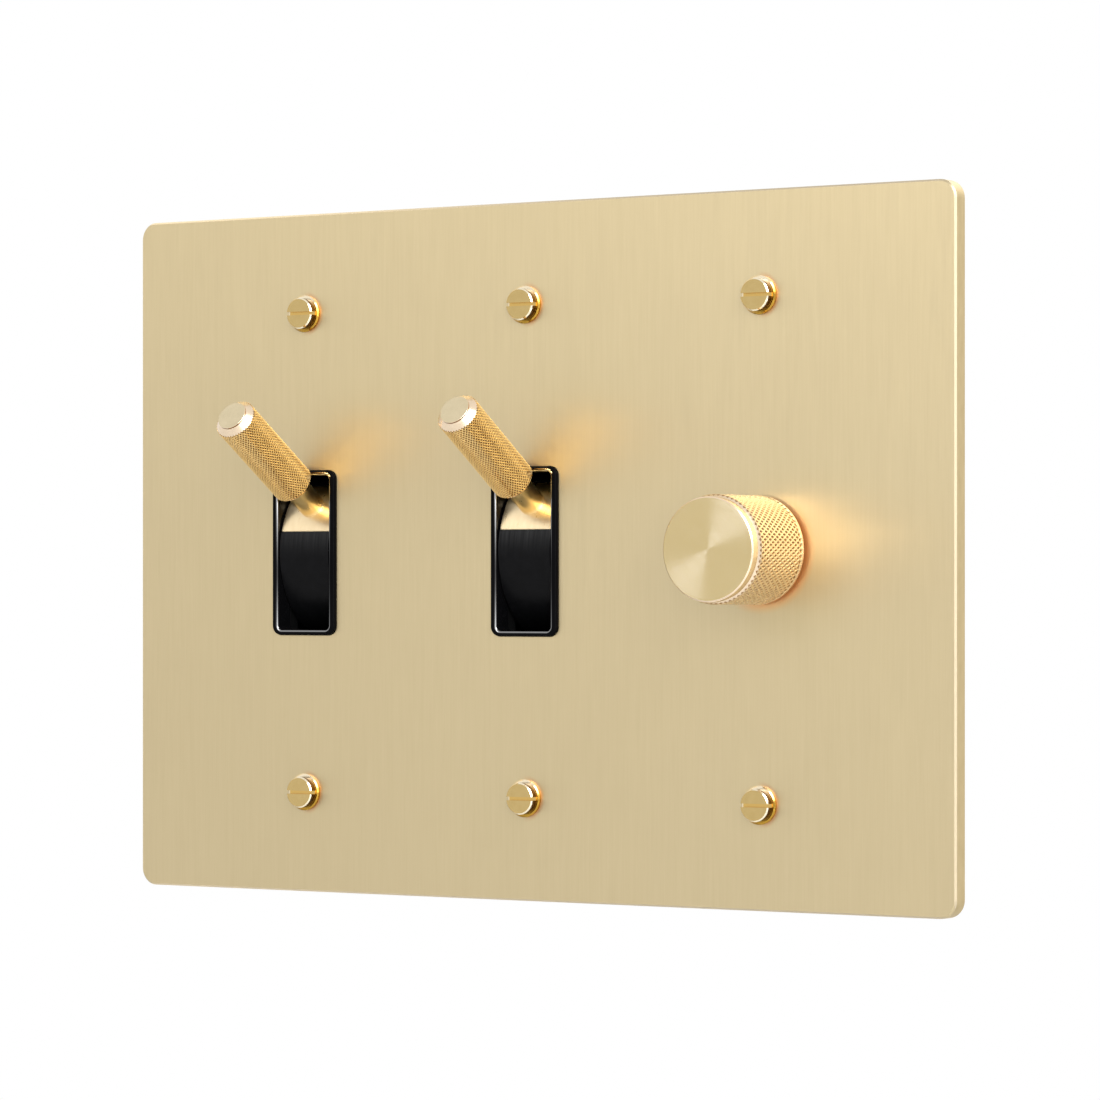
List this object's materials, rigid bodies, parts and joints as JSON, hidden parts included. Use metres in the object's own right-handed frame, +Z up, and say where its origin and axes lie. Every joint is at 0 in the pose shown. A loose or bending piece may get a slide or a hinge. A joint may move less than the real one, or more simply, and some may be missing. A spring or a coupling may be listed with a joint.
{
  "type": "three-gang toggle switch and dimmer plate",
  "caption": "Brushed brass wall plate with knurled toggle switches in black bezels and a knurled push dimmer knob, held by slotted screws.",
  "frame": {"origin": "centre of the plate on the wall plane, between the box screws", "axes": "+X to the right seen from the room, +Y into the wall along the screws, +Z up"},
  "size_m": [0.1644, 0.0571, 0.118],
  "materials": {
    "brushed_brass": "vertical brush lines",
    "screw_brass": "satin, turned",
    "knurled_brass": "knurled, satin",
    "polished_brass": "polished",
    "bezel_black": "glossy moulding",
    "rocker_black": "satin moulding",
    "strap_steel": "zinc plated",
    "heat_sink": "rolled sheet",
    "body_plastic": "moulded, fine grain",
    "cover_plastic": "moulded",
    "bright_steel": "turned or drawn",
    "terminal_brass": "stamped",
    "ground_green": "green dyed",
    "hub_plastic": "moulded",
    "board_green": "printed circuit laminate",
    "ferrite": "pressed ferrite",
    "copper_wire": "enamelled copper",
    "component_case": "moulded"
  },
  "bodies": {
    "wall_plate": {"face_plate": "brushed_brass", "plate_screws": "screw_brass", "bezel_left": "bezel_black", "strap_left": "strap_steel", "strap_rivets_left": "bright_steel", "ground_screw_left": "ground_green", "switch_cover_left": "cover_plastic", "switch_body_left": "body_plastic", "pivot_pin_left": "bright_steel", "toggle_spring_left": "bright_steel", "line_terminal_left": "terminal_brass", "load_terminal_left": "terminal_brass", "terminal_screws_left": "terminal_brass", "bezel_centre": "bezel_black", "strap_centre": "strap_steel", "strap_rivets_centre": "bright_steel", "ground_screw_centre": "ground_green", "switch_cover_centre": "cover_plastic", "switch_body_centre": "body_plastic", "pivot_pin_centre": "bright_steel", "toggle_spring_centre": "bright_steel", "line_terminal_centre": "terminal_brass", "load_terminal_centre": "terminal_brass", "terminal_screws_centre": "terminal_brass", "bush": "terminal_brass", "bush_washer": "bright_steel", "bush_nut": "terminal_brass", "dimmer_strap": "heat_sink", "dimmer_rivets": "bright_steel", "dimmer_ground_screw": "ground_green", "dimmer_body": "body_plastic", "pot_case": "bright_steel", "resistor_track": "board_green", "push_case": "hub_plastic", "push_spring": "bright_steel", "circuit_board": "board_green", "triac": "component_case", "triac_screw": "bright_steel", "choke_core": "ferrite", "choke_winding": "copper_wire", "capacitor": "component_case", "terminal_block": "body_plastic", "terminal_clamps": "terminal_brass", "clamp_screws": "bright_steel"},
    "lever_left": {"rocker_left": "rocker_black", "lever_stem_left": "polished_brass", "lever_handle_left": "knurled_brass"},
    "contact_left": {"contact_arm_left": "terminal_brass"},
    "lever_centre": {"rocker_centre": "rocker_black", "lever_stem_centre": "polished_brass", "lever_handle_centre": "knurled_brass"},
    "contact_centre": {"contact_arm_centre": "terminal_brass"},
    "wiper": {"wiper_rotor": "hub_plastic"},
    "knob_and_spindle": {"knob": "knurled_brass", "knob_hub": "hub_plastic", "spindle": "bright_steel"},
    "push_button": {"push_plunger": "hub_plastic"}
  },
  "joints": [
    {"name": "left_toggle", "type": "hinge", "parent": "wall_plate", "child": "lever_left", "pos_m": [-0.04604, 0.0117, 0], "axis": [1, 0, 0], "range_deg": [0, 66], "deforming": ["toggle_spring_left"]},
    {"name": "left_contact", "type": "hinge", "parent": "wall_plate", "child": "contact_left", "pos_m": [-0.04604, 0.02749, 0], "axis": [1, 0, 0], "range_deg": [0, 40]},
    {"name": "centre_toggle", "type": "hinge", "parent": "wall_plate", "child": "lever_centre", "pos_m": [0, 0.0117, 0], "axis": [1, 0, 0], "range_deg": [0, 66], "deforming": ["toggle_spring_centre"]},
    {"name": "centre_contact", "type": "hinge", "parent": "wall_plate", "child": "contact_centre", "pos_m": [0, 0.02749, 0], "axis": [1, 0, 0], "range_deg": [0, 40]},
    {"name": "dimmer_turn", "type": "hinge", "parent": "wall_plate", "child": "wiper", "pos_m": [0.04604, 0, 0], "axis": [0, 1, 0], "range_deg": [0, 300]},
    {"name": "dimmer_push", "type": "slide", "parent": "wiper", "child": "knob_and_spindle", "axis": [0, 1, 0], "range_m": [0, 0.0007], "stiffness_N_per_m": 800, "deforming": ["push_spring"]},
    {"name": "switch_push", "type": "slide", "parent": "wall_plate", "child": "push_button", "axis": [0, 1, 0], "range_m": [0, 0.0007]}
  ],
  "couplings": [
    {"joint": "left_contact", "follows": "left_toggle", "ratio": 0.60606},
    {"joint": "centre_contact", "follows": "centre_toggle", "ratio": 0.60606},
    {"joint": "switch_push", "follows": "dimmer_push", "ratio": 1}
  ]
}
